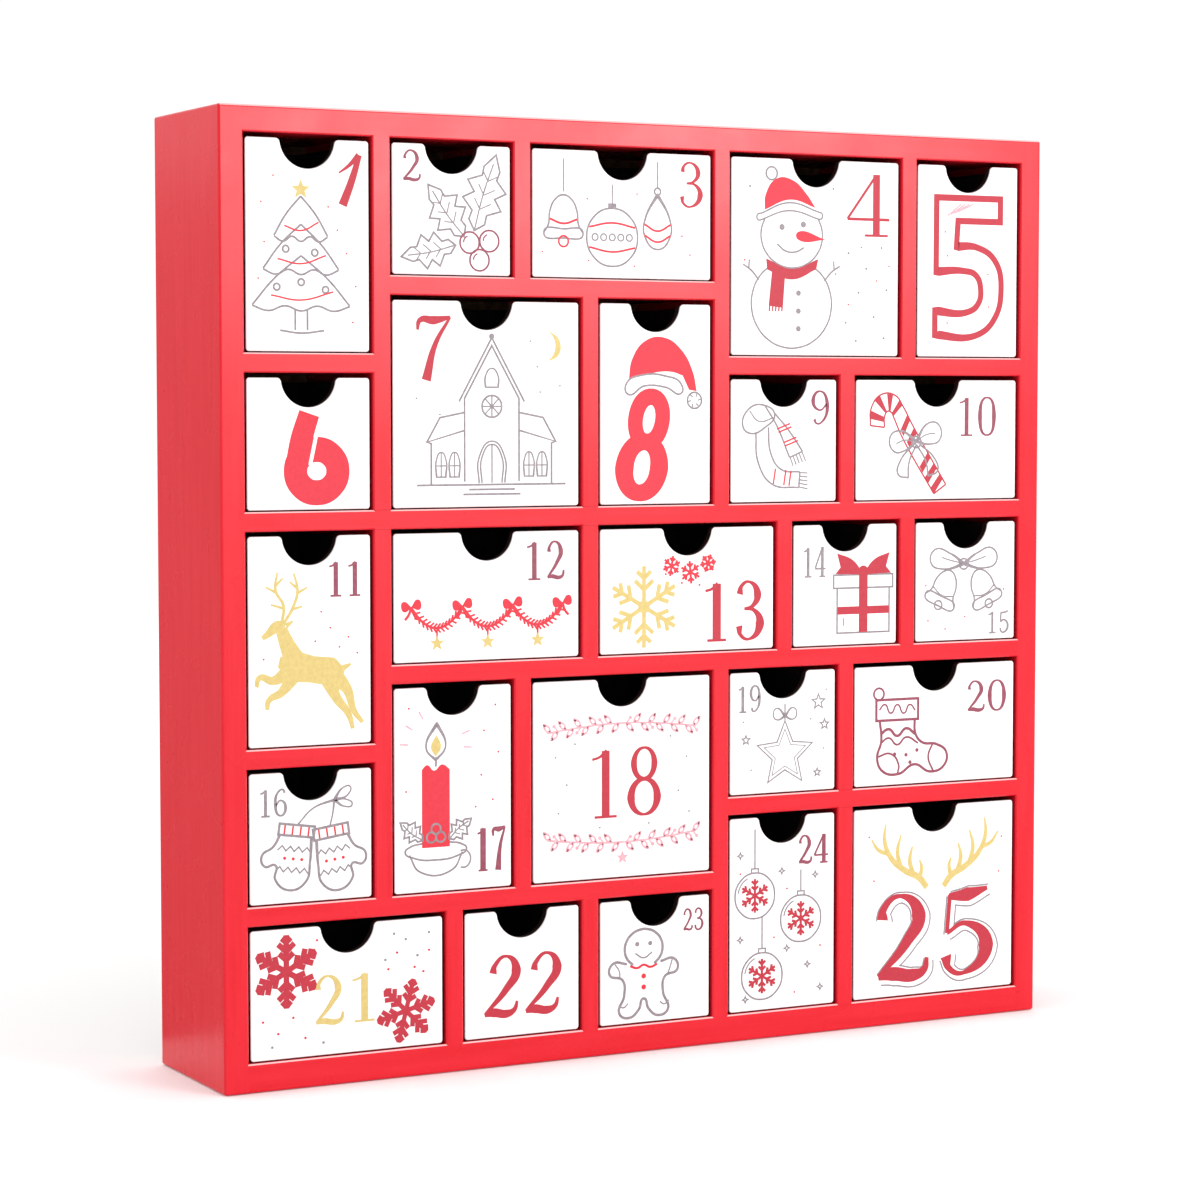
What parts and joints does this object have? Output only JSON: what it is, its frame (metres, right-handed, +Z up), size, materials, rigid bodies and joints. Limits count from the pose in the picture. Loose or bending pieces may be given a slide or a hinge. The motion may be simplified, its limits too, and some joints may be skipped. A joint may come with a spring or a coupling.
{
  "type": "wooden advent calendar",
  "caption": "Square red wooden advent calendar with loose white drawers of mixed sizes, each with a plain number and a half-round finger notch in its front.",
  "frame": {"origin": "middle of the base, on the surface that the calendar stands on", "axes": "+X to the right seen from the front, +Y from the drawer fronts to the back, +Z up"},
  "size_m": [0.3, 0.055, 0.3],
  "materials": {
    "red_painted_wood": "satin paint",
    "white_painted_wood": "satin paint",
    "dark_drawer_wood": "matt stain",
    "back_hardboard": "smooth hardboard",
    "brad_steel": "plain"
  },
  "bodies": {
    "carcass": {"left_side": "red_painted_wood", "right_side": "red_painted_wood", "top_board": "red_painted_wood", "bottom_board": "red_painted_wood", "back_panel": "back_hardboard", "full_width_shelf": "red_painted_wood", "part_width_shelves": "red_painted_wood", "tall_partitions": "red_painted_wood", "short_partitions": "red_painted_wood", "brads": "brad_steel"},
    "drawer_01": {"drawer_01_front": "white_painted_wood", "drawer_01_box": "dark_drawer_wood"},
    "drawer_02": {"drawer_02_front": "white_painted_wood", "drawer_02_box": "dark_drawer_wood"},
    "drawer_03": {"drawer_03_front": "white_painted_wood", "drawer_03_box": "dark_drawer_wood"},
    "drawer_04": {"drawer_04_front": "white_painted_wood", "drawer_04_box": "dark_drawer_wood"},
    "drawer_05": {"drawer_05_front": "white_painted_wood", "drawer_05_box": "dark_drawer_wood"},
    "drawer_06": {"drawer_06_front": "white_painted_wood", "drawer_06_box": "dark_drawer_wood"},
    "drawer_07": {"drawer_07_front": "white_painted_wood", "drawer_07_box": "dark_drawer_wood"},
    "drawer_08": {"drawer_08_front": "white_painted_wood", "drawer_08_box": "dark_drawer_wood"},
    "drawer_09": {"drawer_09_front": "white_painted_wood", "drawer_09_box": "dark_drawer_wood"},
    "drawer_10": {"drawer_10_front": "white_painted_wood", "drawer_10_box": "dark_drawer_wood"},
    "drawer_11": {"drawer_11_front": "white_painted_wood", "drawer_11_box": "dark_drawer_wood"},
    "drawer_12": {"drawer_12_front": "white_painted_wood", "drawer_12_box": "dark_drawer_wood"},
    "drawer_13": {"drawer_13_front": "white_painted_wood", "drawer_13_box": "dark_drawer_wood"},
    "drawer_14": {"drawer_14_front": "white_painted_wood", "drawer_14_box": "dark_drawer_wood"},
    "drawer_15": {"drawer_15_front": "white_painted_wood", "drawer_15_box": "dark_drawer_wood"},
    "drawer_16": {"drawer_16_front": "white_painted_wood", "drawer_16_box": "dark_drawer_wood"},
    "drawer_17": {"drawer_17_front": "white_painted_wood", "drawer_17_box": "dark_drawer_wood"},
    "drawer_18": {"drawer_18_front": "white_painted_wood", "drawer_18_box": "dark_drawer_wood"},
    "drawer_19": {"drawer_19_front": "white_painted_wood", "drawer_19_box": "dark_drawer_wood"},
    "drawer_20": {"drawer_20_front": "white_painted_wood", "drawer_20_box": "dark_drawer_wood"},
    "drawer_21": {"drawer_21_front": "white_painted_wood", "drawer_21_box": "dark_drawer_wood"},
    "drawer_22": {"drawer_22_front": "white_painted_wood", "drawer_22_box": "dark_drawer_wood"},
    "drawer_23": {"drawer_23_front": "white_painted_wood", "drawer_23_box": "dark_drawer_wood"},
    "drawer_24": {"drawer_24_front": "white_painted_wood", "drawer_24_box": "dark_drawer_wood"},
    "drawer_25": {"drawer_25_front": "white_painted_wood", "drawer_25_box": "dark_drawer_wood"}
  },
  "joints": [
    {"name": "drawer_01_slide", "type": "slide", "parent": "carcass", "child": "drawer_01", "axis": [0, -1, 0], "range_m": [0, 0.044]},
    {"name": "drawer_02_slide", "type": "slide", "parent": "carcass", "child": "drawer_02", "axis": [0, -1, 0], "range_m": [0, 0.044]},
    {"name": "drawer_03_slide", "type": "slide", "parent": "carcass", "child": "drawer_03", "axis": [0, -1, 0], "range_m": [0, 0.044]},
    {"name": "drawer_04_slide", "type": "slide", "parent": "carcass", "child": "drawer_04", "axis": [0, -1, 0], "range_m": [0, 0.044]},
    {"name": "drawer_05_slide", "type": "slide", "parent": "carcass", "child": "drawer_05", "axis": [0, -1, 0], "range_m": [0, 0.044]},
    {"name": "drawer_06_slide", "type": "slide", "parent": "carcass", "child": "drawer_06", "axis": [0, -1, 0], "range_m": [0, 0.044]},
    {"name": "drawer_07_slide", "type": "slide", "parent": "carcass", "child": "drawer_07", "axis": [0, -1, 0], "range_m": [0, 0.044]},
    {"name": "drawer_08_slide", "type": "slide", "parent": "carcass", "child": "drawer_08", "axis": [0, -1, 0], "range_m": [0, 0.044]},
    {"name": "drawer_09_slide", "type": "slide", "parent": "carcass", "child": "drawer_09", "axis": [0, -1, 0], "range_m": [0, 0.044]},
    {"name": "drawer_10_slide", "type": "slide", "parent": "carcass", "child": "drawer_10", "axis": [0, -1, 0], "range_m": [0, 0.044]},
    {"name": "drawer_11_slide", "type": "slide", "parent": "carcass", "child": "drawer_11", "axis": [0, -1, 0], "range_m": [0, 0.044]},
    {"name": "drawer_12_slide", "type": "slide", "parent": "carcass", "child": "drawer_12", "axis": [0, -1, 0], "range_m": [0, 0.044]},
    {"name": "drawer_13_slide", "type": "slide", "parent": "carcass", "child": "drawer_13", "axis": [0, -1, 0], "range_m": [0, 0.044]},
    {"name": "drawer_14_slide", "type": "slide", "parent": "carcass", "child": "drawer_14", "axis": [0, -1, 0], "range_m": [0, 0.044]},
    {"name": "drawer_15_slide", "type": "slide", "parent": "carcass", "child": "drawer_15", "axis": [0, -1, 0], "range_m": [0, 0.044]},
    {"name": "drawer_16_slide", "type": "slide", "parent": "carcass", "child": "drawer_16", "axis": [0, -1, 0], "range_m": [0, 0.044]},
    {"name": "drawer_17_slide", "type": "slide", "parent": "carcass", "child": "drawer_17", "axis": [0, -1, 0], "range_m": [0, 0.044]},
    {"name": "drawer_18_slide", "type": "slide", "parent": "carcass", "child": "drawer_18", "axis": [0, -1, 0], "range_m": [0, 0.044]},
    {"name": "drawer_19_slide", "type": "slide", "parent": "carcass", "child": "drawer_19", "axis": [0, -1, 0], "range_m": [0, 0.044]},
    {"name": "drawer_20_slide", "type": "slide", "parent": "carcass", "child": "drawer_20", "axis": [0, -1, 0], "range_m": [0, 0.044]},
    {"name": "drawer_21_slide", "type": "slide", "parent": "carcass", "child": "drawer_21", "axis": [0, -1, 0], "range_m": [0, 0.044]},
    {"name": "drawer_22_slide", "type": "slide", "parent": "carcass", "child": "drawer_22", "axis": [0, -1, 0], "range_m": [0, 0.044]},
    {"name": "drawer_23_slide", "type": "slide", "parent": "carcass", "child": "drawer_23", "axis": [0, -1, 0], "range_m": [0, 0.044]},
    {"name": "drawer_24_slide", "type": "slide", "parent": "carcass", "child": "drawer_24", "axis": [0, -1, 0], "range_m": [0, 0.044]},
    {"name": "drawer_25_slide", "type": "slide", "parent": "carcass", "child": "drawer_25", "axis": [0, -1, 0], "range_m": [0, 0.044]}
  ]
}
